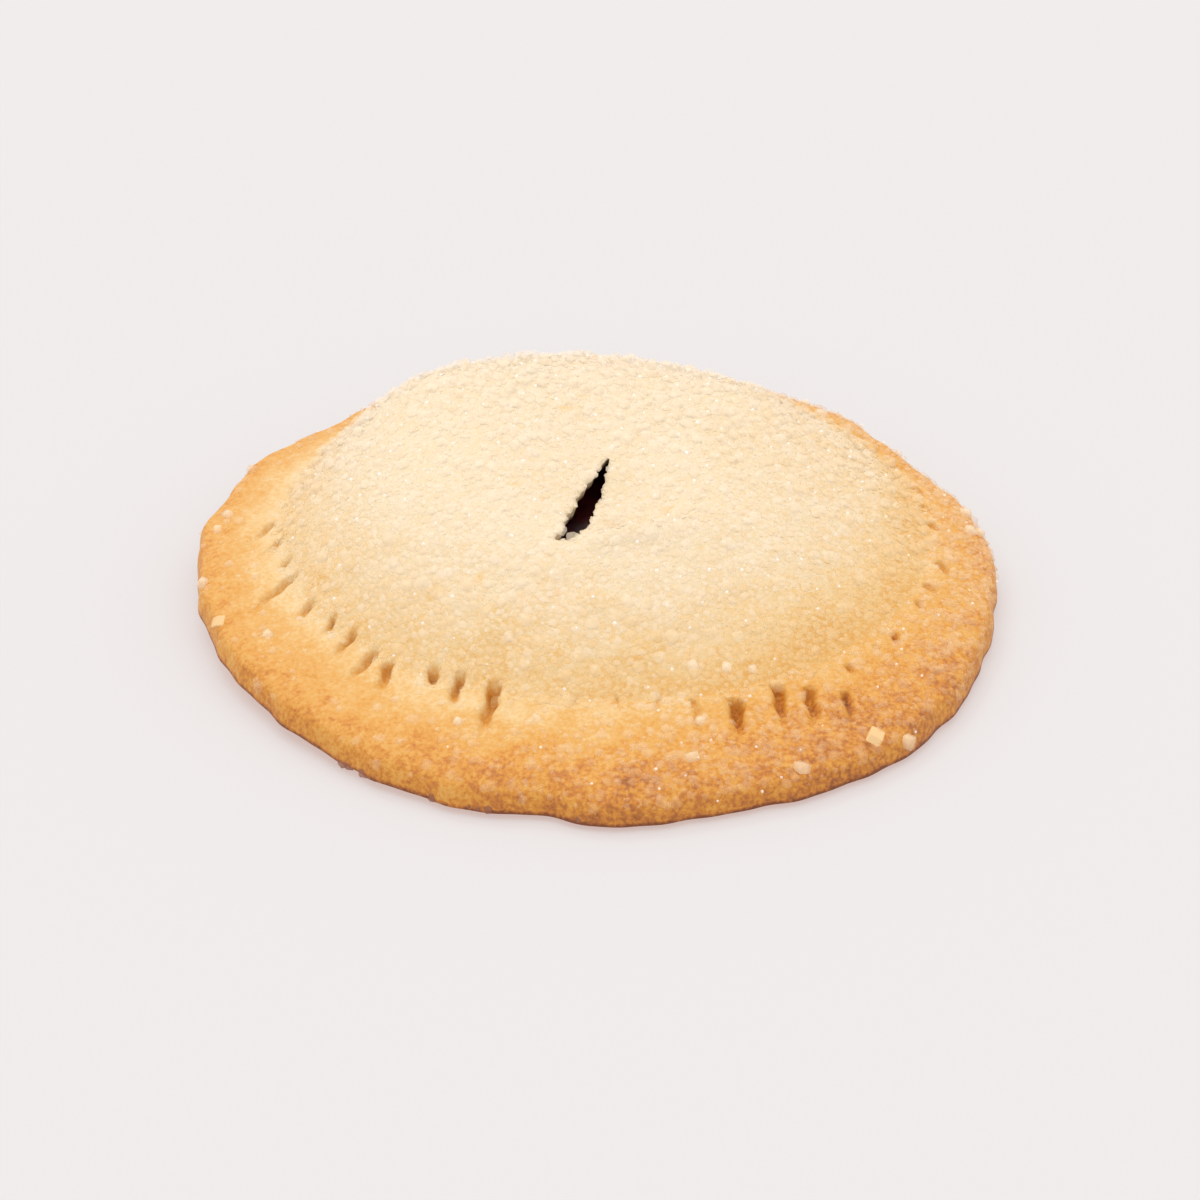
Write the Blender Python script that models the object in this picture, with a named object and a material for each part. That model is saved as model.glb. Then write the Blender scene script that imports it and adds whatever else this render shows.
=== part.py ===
"""Round fruit hand pie, baked without a dish.

Two rolled rounds of dough enclose a mound of stewed fruit.  The top round is draped over
the fruit, sealed to the bottom round with a table fork all the way round, and slit once so
that steam can leave.  Metres, +Z up.  The origin is under the middle of the rim, on the
surface the pie rests on, and the slit runs nearly along +Y.

Azimuths are in degrees, counter-clockwise from +X.
"""
import math

import bmesh
import bpy

MM = 0.001

# Rolled dough, the gap that keeps touching pieces apart, and the steam gap over the fruit.
TOP_DOUGH = 2.6 * MM
BOTTOM_DOUGH = 1.8 * MM
GAP = 0.3 * MM
STEAM_GAP = 1.2 * MM

# Outline of the rim: a plain radius with swells (+) and dents (-) as
# (azimuth, size, half width in degrees).
RIM_RADIUS = 63.1 * MM
RIM_SWELLS = (
    (-177, 0.4 * MM, 14), (172, 0.9 * MM, 8), (152, 1.1 * MM, 6), (138, -1.3 * MM, 9),
    (112, -0.1 * MM, 9), (95, 0.7 * MM, 8), (60, -1.4 * MM, 14), (31, -2.9 * MM, 13),
    (2, 0.5 * MM, 9), (-50, 2.0 * MM, 22), (-86, 1.2 * MM, 6), (-98, -1.2 * MM, 5),
    (-136, -1.2 * MM, 20),
)

# Middle of the rim's box, which the swells move off the circle's centre: it is the origin.
RIM_MIDDLE_X = -0.19 * MM
RIM_MIDDLE_Y = -0.32 * MM

# How far the underside of the rim stands off the table, baked a little warped.
RIM_LIFT = 0.25 * MM
LIFT_SWELLS = ((178, 3.2 * MM, 45), (20, 1.2 * MM, 40), (90, 1.4 * MM, 45))

# The mound of fruit: an oval, set back from the middle, inside the fork line.
MOUND_X = 1.0 * MM
MOUND_Y = 6.2 * MM
MOUND_HALF_X = 51.8 * MM
MOUND_HALF_Y = 49.5 * MM
MOUND_HEIGHT = 27.3 * MM
MOUND_LEAN = -0.13
MOUND_FULLNESS = 3.0
MOUND_SHOULDER = 1.12

# Height of the crust's face along the fork line and at the rim, and the flange shares between
# which the two rounds come together.
FORK_LINE_HEIGHT = 7.9 * MM
FORK_LINE_SWELLS = ((-90, 1.1 * MM, 40), (178, 1.4 * MM, 40))
RIM_HEIGHT = 4.9 * MM
FLANGE_SAG = 1.25
SEAM_SHARES = (-0.1, 0.4)

# Soft hollows (-) and swells (+) of the crown as (x, y, size, half length, half width, turn).
CROWN_SHAPES = (
    (-1.5 * MM, -10.0 * MM, -2.2 * MM, 15 * MM, 11 * MM, 72),
    (8.0 * MM, -9.5 * MM, -1.8 * MM, 9 * MM, 5.5 * MM, 25),
    (4.5 * MM, -18.5 * MM, 1.3 * MM, 11 * MM, 3.2 * MM, 25),
    (-30.0 * MM, 24.0 * MM, 3.4 * MM, 16 * MM, 11 * MM, 40),
    (26.0 * MM, 28.0 * MM, 2.2 * MM, 13 * MM, 10 * MM, -40),
    (-20.0 * MM, -26.0 * MM, -0.6 * MM, 6 * MM, 4 * MM, 30),
)

# The steam slit: a tear, wide at its front end and closing to a point at the back.
VENT_X = -1.5 * MM
VENT_Y = -10.8 * MM
VENT_LENGTH = 22.0 * MM
VENT_WIDTH = 3.2 * MM
VENT_TURN = 73.0
VENT_TAPER = 0.45

# Each press of the fork, in millimetres: plan place of its first tine's tip, the way to the
# next tips, the way the tines point, and for every tine how far it is bent along the row, its
# depth and its length.
TINE_STEP = 5.6 * MM
TINE_HALF_WIDTH = 0.9 * MM
TIP_START = -0.5 * MM
TIP_FULL = 0.7 * MM
TINE_FADE = 0.5
FORK_PRESSES = (
    ((-51.1, 6.9), -77, -125, ((0, 0.9, 8), (0, 0.9, 6), (0.7, 0.9, 3), (-0.2, 1.2, 12))),
    ((-44.0, -16.4), -52, -122, ((0.2, 1.1, 5), (0.6, 1.0, 4.5), (0, 1.2, 6.5), (0, 1.4, 8))),
    ((-31.4, -32.2), -24, -101, ((0, 1.5, 7), (1.9, 1.5, 3), (0.6, 1.5, 5.5), (0.9, 1.8, 9))),
    ((-8.9, -42.2), -3, -89, ((0, 0.2, 3), (0, 0.35, 3.5))),
    ((2.9, -42.5), 3, -84, ((0, 0.35, 3), (0.4, 0.5, 4.5), (0.3, 0.9, 8), (0.8, 1.9, 7.5))),
    ((26.9, -37.6), -2, -84, ((0, 1.6, 7.5), (-0.9, 1.5, 6.5), (-0.9, 1.2, 6))),
    ((38.0, -31.4), 50, -70, ((0, 1.0, 3), (1.1, 0.7, 2.2), (0, 1.0, 3.6))),
    ((49.5, -13.7), 71, -55, ((0, 0.9, 3.2), (-0.5, 1.0, 3.6), (0.7, 1.1, 4.6))),
    ((54.0, 3.6), 100, -50, ((0, 0.4, 3), (0.3, 1.0, 4), (0, 0.8, 4), (0, 0.9, 4))),
    ((47.6, 26.0), 124, 20, ((0, 0.8, 4), (0.5, 1.0, 4), (0, 0.9, 5), (-0.4, 0.9, 4))),
    ((33.1, 44.1), 151, 55, ((0, 0.9, 5), (0, 1.1, 5), (0.6, 1.0, 4), (0, 0.7, 4))),
    ((11.6, 53.9), 179, 88, ((0, 0.8, 4), (0.4, 1.2, 5), (0, 1.1, 6), (0, 0.9, 4))),
    ((-12.2, 53.3), 205, 115, ((0, 0.8, 4), (0, 0.8, 4), (0.5, 0.7, 3), (0, 0.6, 3))),
    ((-33.1, 42.5), 232, 145, ((0, 0.6, 3), (0, 0.7, 4), (0.4, 0.6, 4))),
    ((-44.4, 28.4), 250, 165, ((0, 0.7, 4), (0, 0.6, 3), (0, 0.6, 3))),
)

# The bottom round shrinks further from the rim than the top one, most of all at the sides.
BOTTOM_INSET = 1.1 * MM
INSET_SWELLS = ((180, 1.4 * MM, 40), (5, 0.9 * MM, 35))

# Mesh density: columns round the pie, and extra cuts of each column along the fork line.
COLUMNS = 84
FORK_CUTS = 2
FILLING_COLUMNS = 48

# Rings of each piece as shares of the way out: 0 at the middle or the slit, 1 on the fork
# line, 2 at the rim.  A share of -1 closes the middle of a piece in one point.
CROWN_SHARES = (0, 0.06, 0.15, 0.27, 0.41, 0.55, 0.68, 0.79, 0.89)
FORK_SHARES = (0.96, 1.03, 1.14, 1.28, 1.42)
FLANGE_SHARES = (1.56, 1.7)
UNDER_SHARES = (1.7, 1.47, 1.23, 1.0, 0.85, 0.68, 0.5, 0.3, 0.12, 0)
BASE_SHARES = (-1, 0.45, 1.0, 1.25, 1.42)
FILLING_SHARES = (-1, 0.12, 0.3, 0.5, 0.68, 0.85, 1.0)
FILLING_EDGE_SHARE = 1.04
EDGE_START = 1.9

# Levels round an edge: 1 on the upper face, 0 beneath.
TOP_EDGE_LEVELS = (1, 0.7, 0.3, 0)
BOTTOM_EDGE_LEVELS = (1, 0.5, 0)
SLACK = 0.02

# Sharpest turn between faces that is still shaded smooth, in degrees.
SMOOTH_ANGLE = 40


def turned_away(azimuth, centre):
    """Signed angle from centre to azimuth, between -180 and 180."""
    return (azimuth - centre + 180) % 360 - 180


def swells(azimuth, table):
    """Sum of smooth bumps set round the pie."""
    return sum(size * math.exp(-(turned_away(azimuth, centre) / width) ** 2)
               for centre, size, width in table)


def smooth_step(low, high, value):
    """0 below low, 1 above high, and an even ease between."""
    share = min(max((value - low) / (high - low), 0), 1)
    return share * share * (3 - 2 * share)


def on_circle(radius, azimuth):
    """Plan point at this radius and azimuth from the origin."""
    turn = math.radians(azimuth)
    return radius * math.cos(turn), radius * math.sin(turn)


def rim_radius(azimuth):
    """Distance from the origin to the edge of the crust."""
    return RIM_RADIUS + swells(azimuth, RIM_SWELLS)


def fork_line_radius(azimuth):
    """Distance from the origin to the oval foot of the mound."""
    across, along = on_circle(1, azimuth)
    a = (across / MOUND_HALF_X) ** 2 + (along / MOUND_HALF_Y) ** 2
    b = across * MOUND_X / MOUND_HALF_X ** 2 + along * MOUND_Y / MOUND_HALF_Y ** 2
    c = (MOUND_X / MOUND_HALF_X) ** 2 + (MOUND_Y / MOUND_HALF_Y) ** 2 - 1
    return (b + math.sqrt(b * b - a * c)) / a


def flange_share(x, y):
    """0 on the fork line, 1 at the rim, and negative inside the mound."""
    azimuth = math.degrees(math.atan2(y, x))
    inner = fork_line_radius(azimuth)
    return (math.hypot(x, y) - inner) / (rim_radius(azimuth) - inner)


def crown_shape(x, y):
    """The soft hollows and swells of the crown at a plan point."""
    height = 0.0
    for centre_x, centre_y, size, half_length, half_width, turn in CROWN_SHAPES:
        across, along = on_circle(1, turn)
        forward = (x - centre_x) * across + (y - centre_y) * along
        sideways = (y - centre_y) * across - (x - centre_x) * along
        height += size * math.exp(-(forward / half_length) ** 2 - (sideways / half_width) ** 2)
    return height


def face_height(x, y):
    """Height of the crust's upper face over a plan point, before the fork is pressed in."""
    azimuth = math.degrees(math.atan2(y, x))
    foot = FORK_LINE_HEIGHT + swells(azimuth, FORK_LINE_SWELLS)
    share = flange_share(x, y)
    if share > 0:
        rim = RIM_HEIGHT + swells(azimuth, LIFT_SWELLS)
        return foot + (rim - foot) * min(share, 1) ** FLANGE_SAG
    oval = math.hypot((x - MOUND_X) / MOUND_HALF_X, (y - MOUND_Y) / MOUND_HALF_Y)
    fullness = max(1 - oval ** MOUND_FULLNESS, 0) ** MOUND_SHOULDER
    rise = MOUND_HEIGHT - foot + MOUND_LEAN * (x - MOUND_X) + crown_shape(x, y)
    return foot + rise * fullness


def table_lift(x, y):
    """Height of the bottom crust's underside: flat on the table, raised towards the rim."""
    azimuth = math.degrees(math.atan2(y, x))
    return (RIM_LIFT + swells(azimuth, LIFT_SWELLS)) * smooth_step(0, 1, flange_share(x, y))


def seam_height(x, y):
    """Underside of the top crust where the two rounds are pressed together."""
    return table_lift(x, y) + BOTTOM_DOUGH + GAP


def under_height(x, y):
    """Underside of the top crust: parallel to its face over the fruit, then on the seam."""
    sealed = smooth_step(*SEAM_SHARES, flange_share(x, y))
    hanging = face_height(x, y) - TOP_DOUGH
    return hanging + (seam_height(x, y) - hanging) * sealed


def fork_depth(x, y):
    """How deep the tines are pressed in at a plan point."""
    deepest = 0.0
    for (tip_x, tip_y), row, turn, tines in FORK_PRESSES:
        row_x, row_y = on_circle(1, row)
        way_x, way_y = on_circle(1, turn)
        for count, (bent, depth, length) in enumerate(tines):
            along_row = count * TINE_STEP + bent * MM
            from_x = x - tip_x * MM - along_row * row_x
            from_y = y - tip_y * MM - along_row * row_y
            run = from_x * way_x + from_y * way_y
            sideways = from_y * way_x - from_x * way_y
            along = smooth_step(TIP_START, TIP_FULL, run)
            along *= 1 - smooth_step(TINE_FADE, 1, run / (length * MM))
            bite = depth * MM * along * math.exp(-(sideways / TINE_HALF_WIDTH) ** 2)
            deepest = max(deepest, bite)
    return deepest


def vent_lip(azimuth):
    """Plan point of the slit's edge that faces this azimuth."""
    turn = math.radians(azimuth - VENT_TURN)
    forward = VENT_LENGTH / 2 * math.cos(turn)
    sideways = VENT_WIDTH / 2 * math.sin(turn) * (1 - VENT_TAPER * math.cos(turn))
    across, along = on_circle(1, VENT_TURN)
    return (VENT_X + forward * across - sideways * along,
            VENT_Y + forward * along + sideways * across)


def plan_point(share, azimuth, centre):
    """Plan point: share 0 at centre, 1 on the fork line, 2 at the rim."""
    foot = on_circle(fork_line_radius(azimuth), azimuth)
    if share <= 1:
        return tuple(centre[i] + (foot[i] - centre[i]) * share for i in range(2))
    rim = on_circle(rim_radius(azimuth), azimuth)
    return tuple(foot[i] + (rim[i] - foot[i]) * (share - 1) for i in range(2))


def spun_mesh(profile, closed, columns):
    """Mesh swept round +Z from (share, level) pairs.

    It stands in plan coordinates, at radius 1 + share and height level, until place_vertices
    moves each vertex to its real place.
    """
    mesh = bmesh.new()
    verts = [mesh.verts.new((1 + share, 0, level)) for share, level in profile]
    ends = list(zip(verts, verts[1:]))
    if closed:
        ends.append((verts[-1], verts[0]))
    edges = [mesh.edges.new(pair) for pair in ends]
    bmesh.ops.spin(mesh, geom=verts + edges, axis=(0, 0, 1), cent=(0, 0, 0),
                   angle=math.tau, steps=columns, use_merge=True)
    bmesh.ops.remove_doubles(mesh, verts=mesh.verts, dist=SLACK)
    return mesh


def place_vertices(mesh, place):
    """Move every vertex from plan coordinates to place(share, level, azimuth)."""
    for vert in mesh.verts:
        azimuth = math.degrees(math.atan2(vert.co.y, vert.co.x))
        x, y, z = place(math.hypot(vert.co.x, vert.co.y) - 1, vert.co.z, azimuth)
        vert.co = (x - RIM_MIDDLE_X, y - RIM_MIDDLE_Y, z)


def dough(name, colour, roughness):
    """Principled material of a baked or stewed food."""
    material = bpy.data.materials.new(name)
    material.use_nodes = True
    shader = material.node_tree.nodes["Principled BSDF"]
    shader.inputs["Base Color"].default_value = (*colour, 1)
    shader.inputs["Roughness"].default_value = roughness
    shader.inputs["Metallic"].default_value = 0
    return material


def add_object(name, mesh, material):
    """Turn a finished bmesh into a smooth-shaded object."""
    bmesh.ops.recalc_face_normals(mesh, faces=mesh.faces)
    data = bpy.data.meshes.new(name)
    mesh.to_mesh(data)
    mesh.free()
    data.materials.append(material)
    data.shade_smooth()
    data.set_sharp_from_angle(angle=math.radians(SMOOTH_ANGLE))
    piece = bpy.data.objects.new(name, data)
    bpy.context.scene.collection.objects.link(piece)


def rounded_edge(x, y, thickness, inset, level):
    """Plan point on the half-round edge of a round of dough, whose foremost line is at level 0.5."""
    radius = math.hypot(x, y)
    bulge = thickness / 2 * math.sin(math.pi * level)
    share = (radius - inset - thickness / 2 + bulge) / radius
    return x * share, y * share


def top_crust_place(share, level, azimuth):
    """Top round: level 1 is its face, pressed by the fork, and 0 its underside."""
    x, y = plan_point(share, azimuth, vent_lip(azimuth))
    if share > EDGE_START:
        x, y = rounded_edge(x, y, TOP_DOUGH, 0, level)
    under = under_height(x, y)
    face = face_height(x, y) - fork_depth(x, y)
    return x, y, under + (face - under) * level


def is_pressed(edge, inner, outer):
    """True for an edge that runs round the upper face inside the band the fork presses."""
    radii = [vert.co.xy.length for vert in edge.verts]
    runs_round = abs(radii[0] - radii[1]) < SLACK
    on_face = all(vert.co.z > 1 - SLACK for vert in edge.verts)
    return runs_round and on_face and inner < radii[0] < outer


def make_top_crust():
    """Crown, pressed flange and rounded rim of the top round, with the slit through it."""
    face = [(share, 1) for share in CROWN_SHARES + FORK_SHARES + FLANGE_SHARES]
    edge = [(2, level) for level in TOP_EDGE_LEVELS]
    underside = [(share, 0) for share in UNDER_SHARES]
    mesh = spun_mesh(face + edge + underside, True, COLUMNS)
    inner, outer = 1 + FORK_SHARES[0], 1 + FORK_SHARES[-1]
    pressed = [edge for edge in mesh.edges if is_pressed(edge, inner - SLACK, outer + SLACK)]
    bmesh.ops.subdivide_edges(mesh, edges=pressed, cuts=FORK_CUTS, use_grid_fill=True)
    place_vertices(mesh, top_crust_place)
    add_object("top_crust", mesh, dough("golden_crust", (0.78, 0.55, 0.28), 0.6))


def bottom_crust_place(share, level, azimuth):
    """Bottom round: level 0 lies on the table, and 1 meets the fruit and the top round."""
    x, y = plan_point(max(share, 0), azimuth, (0, 0))
    if share > EDGE_START:
        inset = BOTTOM_INSET + swells(azimuth, INSET_SWELLS)
        x, y = rounded_edge(x, y, BOTTOM_DOUGH, inset, level)
    return x, y, table_lift(x, y) + BOTTOM_DOUGH * level


def make_bottom_crust():
    """Flat round under the fruit, raised a little with the rim it is sealed to."""
    upper = [(share, 1) for share in BASE_SHARES]
    edge = [(2, level) for level in BOTTOM_EDGE_LEVELS]
    lower = [(share, 0) for share in reversed(BASE_SHARES)]
    mesh = spun_mesh(upper + edge + lower, False, COLUMNS)
    place_vertices(mesh, bottom_crust_place)
    add_object("bottom_crust", mesh, dough("browned_base", (0.42, 0.2, 0.08), 0.7))


def filling_place(share, level, azimuth):
    """Stewed fruit: level 1 lies under the top round, and 0 on the bottom one."""
    x, y = plan_point(max(share, 0), azimuth, (VENT_X, VENT_Y))
    top = under_height(x, y) - STEAM_GAP
    bottom = BOTTOM_DOUGH + GAP
    return x, y, bottom + (top - bottom) * level


def make_filling():
    """Mound of stewed fruit that fills the space between the two rounds."""
    upper = [(share, 1) for share in FILLING_SHARES]
    edge = [(FILLING_EDGE_SHARE, 0.5)]
    lower = [(share, 0) for share in reversed(FILLING_SHARES)]
    mesh = spun_mesh(upper + edge + lower, False, FILLING_COLUMNS)
    place_vertices(mesh, filling_place)
    add_object("filling", mesh, dough("stewed_fruit", (0.09, 0.008, 0.01), 0.25))


for old in list(bpy.data.objects):
    bpy.data.objects.remove(old, do_unlink=True)
make_top_crust()
make_bottom_crust()
make_filling()
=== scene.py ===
import math

import bmesh
import bpy
import numpy as np
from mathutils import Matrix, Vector, noise
from mathutils.bvhtree import BVHTree


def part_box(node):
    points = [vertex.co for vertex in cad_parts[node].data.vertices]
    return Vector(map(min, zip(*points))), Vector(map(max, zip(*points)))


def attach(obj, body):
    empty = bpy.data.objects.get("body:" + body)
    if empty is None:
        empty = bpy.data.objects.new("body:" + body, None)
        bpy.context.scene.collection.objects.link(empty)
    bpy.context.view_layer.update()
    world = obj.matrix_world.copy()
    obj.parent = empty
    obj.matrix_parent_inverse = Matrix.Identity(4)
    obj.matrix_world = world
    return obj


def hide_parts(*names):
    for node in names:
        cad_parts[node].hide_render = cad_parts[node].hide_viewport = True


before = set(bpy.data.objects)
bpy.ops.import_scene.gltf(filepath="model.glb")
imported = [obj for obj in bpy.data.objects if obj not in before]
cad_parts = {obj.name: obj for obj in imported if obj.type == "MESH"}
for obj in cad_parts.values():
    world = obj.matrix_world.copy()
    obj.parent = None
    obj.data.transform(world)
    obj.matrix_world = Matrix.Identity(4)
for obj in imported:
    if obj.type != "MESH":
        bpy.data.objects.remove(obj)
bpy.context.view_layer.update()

# ---------------------------------------------------------------------------------------
# Bottom round.  A round of shortcrust rolled to just under 2 mm and trimmed by hand, so its
# outline swells and dents.  The fruit is heaped on it, its rim is sealed to the top round,
# and it bakes brown where it lies on the tray and lifts a little at the rim.
# ---------------------------------------------------------------------------------------
MM = 0.001
ROOT = "root"
crust_low, crust_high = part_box("top_crust")

# Outline, in millimetres about a circle's centre that lies beside the frame's origin:
# swells (+) and dents (-) are (azimuth, size, half width in degrees).
PLAN_SHIFT = (0.19, 0.32)
CIRCLE_SHARE = 0.4951
RIM_RADIUS = CIRCLE_SHARE * (crust_high.x - crust_low.x) / MM
RIM_SWELLS = (
    (-177, 0.4, 14), (172, 0.9, 8), (152, 1.1, 6), (138, -1.3, 9), (112, -0.1, 9), (95, 0.7, 8),
    (60, -1.4, 14), (31, -2.9, 13), (2, 0.5, 9), (-46, 2.3, 22), (-86, 1.2, 6), (-98, -1.2, 5),
    (-136, -1.2, 20),
)
# Small unevenness of a cut edge: waves in a turn, size in millimetres, phase.
RIM_RIPPLES = ((23, 0.16, 1), (37, 0.12, 4), (61, 0.08, 0))
INSET_RIPPLES = ((29, 0.15, 0),)
RIM_LIFT = 0.25
LIFT_SWELLS = ((178, 3.2, 45), (20, 1.2, 40), (90, 1.4, 45))
MOUND_MIDDLE = (1.0, 6.2)
MOUND_HALF = (51.8, 49.5)
BOTTOM_DOUGH = 1.8
BOTTOM_INSET = 1.1
INSET_SWELLS = ((180, 1.4, 40), (5, 0.9, 35))
EDGE_REACH = 1.2
EDGE_ROOM = 1.5

# A ring's share is 0 at the middle, 1 on the fork line and 2 at the rim.  The last flat ring
# lies at LAST_RING past the fork line, and the rings past EDGE_SHARE make the rounded edge.
LAST_RING = 0.86
EDGE_SHARE = 1.95
COLUMNS = 840


def turned_away(azimuth, centre):
    """Signed angle from centre to azimuth, between -180 and 180 degrees."""
    return (azimuth - centre + 180) % 360 - 180


def swells(azimuth, table):
    """Sum of smooth bumps set round the pie."""
    return sum(size * np.exp(-(turned_away(azimuth, centre) / width) ** 2)
               for centre, size, width in table)


def smooth_step(low, high, value):
    """0 below low, 1 above high, and an even ease between."""
    share = np.clip((value - low) / (high - low), 0, 1)
    return share * share * (3 - 2 * share)


def on_circle(radius, azimuth):
    """Plan point at this radius and azimuth."""
    turn = np.radians(azimuth)
    return radius * np.cos(turn), radius * np.sin(turn)


def azimuth_of(x, y):
    """Azimuth of a plan point in degrees."""
    return np.degrees(np.arctan2(y, x))


def ripples(turn, table, start=0):
    """Sum of waves at this turn in radians, added to start."""
    return sum((size * np.sin(waves * turn + phase) for waves, size, phase in table), start)


def rim_radius(azimuth):
    """Distance from the plan's centre to the edge of the crust, with its small unevenness."""
    return RIM_RADIUS + swells(azimuth, RIM_SWELLS) + ripples(np.radians(azimuth), RIM_RIPPLES)


def fork_line_radius(azimuth):
    """Distance from the plan's centre to the oval foot of the mound, a quadratic's larger root."""
    across, along = on_circle(1, azimuth)
    a = (across / MOUND_HALF[0]) ** 2 + (along / MOUND_HALF[1]) ** 2
    b = across * MOUND_MIDDLE[0] / MOUND_HALF[0] ** 2 + along * MOUND_MIDDLE[1] / MOUND_HALF[1] ** 2
    c = (MOUND_MIDDLE[0] / MOUND_HALF[0]) ** 2 + (MOUND_MIDDLE[1] / MOUND_HALF[1]) ** 2 - 1
    return (b + np.sqrt(b * b - a * c)) / a


def flange_share(x, y):
    """0 on the fork line, 1 at the rim, and negative inside the mound."""
    azimuth = azimuth_of(x, y)
    inner = fork_line_radius(azimuth)
    return (np.hypot(x, y) - inner) / (rim_radius(azimuth) - inner)


def table_lift(x, y):
    """Height of the bottom round's underside."""
    lift = RIM_LIFT + swells(azimuth_of(x, y), LIFT_SWELLS)
    return lift * smooth_step(0, 1, flange_share(x, y))


def plan_point(share, azimuth, centre):
    """Plan point of a ring's share at this azimuth, where share 0 lies at centre."""
    foot = on_circle(fork_line_radius(azimuth), azimuth)
    rim = on_circle(rim_radius(azimuth), azimuth)
    inside = share <= 1
    return tuple(np.where(inside, centre[i] + (foot[i] - centre[i]) * share,
                          foot[i] + (rim[i] - foot[i]) * (share - 1)) for i in range(2))


def drawn_in(share, azimuth, edge_room):
    """Shares of the flange's rings, drawn in where the flange is too narrow for its edge."""
    width = rim_radius(azimuth) - fork_line_radius(azimuth)
    room = np.clip((1 - edge_room / width) / LAST_RING, 0, 1)
    return np.where((share > 1) & (share < EDGE_SHARE), 1 + (share - 1) * room, share)


def round_off(share, x, y, inset, roundness):
    """Plan points with the edge's rings drawn in: by the edge's whole reach at roundness 1."""
    radius = np.hypot(x, y)
    drawn = EDGE_REACH * (1 - np.sqrt(np.clip(1 - roundness ** 2, 0, 1)))
    kept = (radius - inset - drawn) / radius
    return np.where(share > EDGE_SHARE, x * kept, x), np.where(share > EDGE_SHARE, y * kept, y)


def spun_mesh(profile, closed, columns):
    """Mesh swept round +Z from (share, level) pairs, at radius 1 + share and height level."""
    mesh = bmesh.new()
    verts = [mesh.verts.new((1 + share, 0, level)) for share, level in profile]
    ends = list(zip(verts, verts[1:]))
    if closed:
        ends.append((verts[-1], verts[0]))
    edges = [mesh.edges.new(pair) for pair in ends]
    bmesh.ops.spin(mesh, geom=verts + edges, axis=(0, 0, 1), cent=(0, 0, 0),
                   angle=math.tau, steps=columns, use_merge=True)
    bmesh.ops.remove_doubles(mesh, verts=mesh.verts, dist=0.0005)
    bmesh.ops.recalc_face_normals(mesh, faces=mesh.faces)
    return mesh


def swept_places(mesh):
    """Share, level and azimuth of every vertex of a mesh that still stands as spun."""
    x, y, level = np.array([vert.co for vert in mesh.verts]).T
    return np.hypot(x, y) - 1, level, azimuth_of(x, y)


def place_vertices(mesh, x, y, z):
    """Move the vertices to these places, in millimetres about the plan's centre."""
    places = np.stack([x + PLAN_SHIFT[0], y + PLAN_SHIFT[1], z], 1) * MM
    for vert, place in zip(mesh.verts, places):
        vert.co = place


def push_out(mesh, amount):
    """Move every vertex along its normal, by amounts in millimetres."""
    mesh.normal_update()
    for vert, step in zip(mesh.verts, amount * MM):
        vert.co += vert.normal * step


def lumps(mesh, wavelength, seed):
    """Smooth noise between -1 and 1 at every vertex, with this wavelength in millimetres."""
    stretch = 1 / (wavelength * MM)
    offset = Vector((seed * 7.3, seed * 3.1, seed * 5.7))
    return np.array([noise.noise(vert.co * stretch + offset) for vert in mesh.verts])


def level_ladder(steps):
    """Levels from 1 down to 0 that lie evenly round a half-round edge."""
    return [(1 + math.cos(math.pi * step / steps)) / 2 for step in range(steps + 1)]


def add_piece(name, mesh, materials, attributes=()):
    """Turn a finished bmesh into a smooth piece that rides on the pie."""
    bmesh.ops.recalc_face_normals(mesh, faces=mesh.faces)
    data = bpy.data.meshes.new(name)
    mesh.to_mesh(data)
    mesh.free()
    for title, values in attributes:
        layer = data.attributes.new(title, "FLOAT", "POINT")
        layer.data.foreach_set("value", np.asarray(values, np.float32))
    for material in materials:
        data.materials.append(material)
    data.shade_smooth()
    piece = bpy.data.objects.new(name, data)
    bpy.context.scene.collection.objects.link(piece)
    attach(piece, ROOT)
    return piece


def linear(code):
    """sRGB hex code as a linear colour with alpha 1."""
    parts = [int(code[place:place + 2], 16) / 255 for place in (1, 3, 5)]
    return (*[part / 12.92 if part <= 0.04045 else ((part + 0.055) / 1.055) ** 2.4
              for part in parts], 1)


def node(tree, kind, inputs=(), **settings):
    """Add a node, set its properties, and fill or link its inputs."""
    added = tree.nodes.new("ShaderNode" + kind)
    for name, value in settings.items():
        setattr(added, name, value)
    for socket, value in dict(inputs).items():
        if isinstance(value, bpy.types.NodeSocket):
            tree.links.new(value, added.inputs[socket])
        else:
            added.inputs[socket].default_value = value
    return added


def new_material(name):
    """Material with its Principled shader, and its tree."""
    material = bpy.data.materials.new(name)
    material.use_nodes = True
    tree = material.node_tree
    return material, tree, tree.nodes["Principled BSDF"]


def colour_ramp(tree, factor, stops):
    """Colour ramp output with (position, hex code) stops."""
    ramp = node(tree, "ValToRGB", {"Fac": factor})
    elements = ramp.color_ramp.elements
    while len(elements) < len(stops):
        elements.new(0.5)
    for element, (position, code) in zip(elements, stops):
        element.position = position
        element.color = linear(code)
    return ramp.outputs["Color"]


def grain(tree, wavelength, detail=3.0, rough=0.6):
    """Noise of this wavelength in millimetres, on the piece's own coordinates."""
    place = node(tree, "TexCoord").outputs["Object"]
    return node(tree, "TexNoise", {"Vector": place, "Scale": 1 / (wavelength * MM),
                                   "Detail": detail, "Roughness": rough}).outputs["Fac"]


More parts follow.
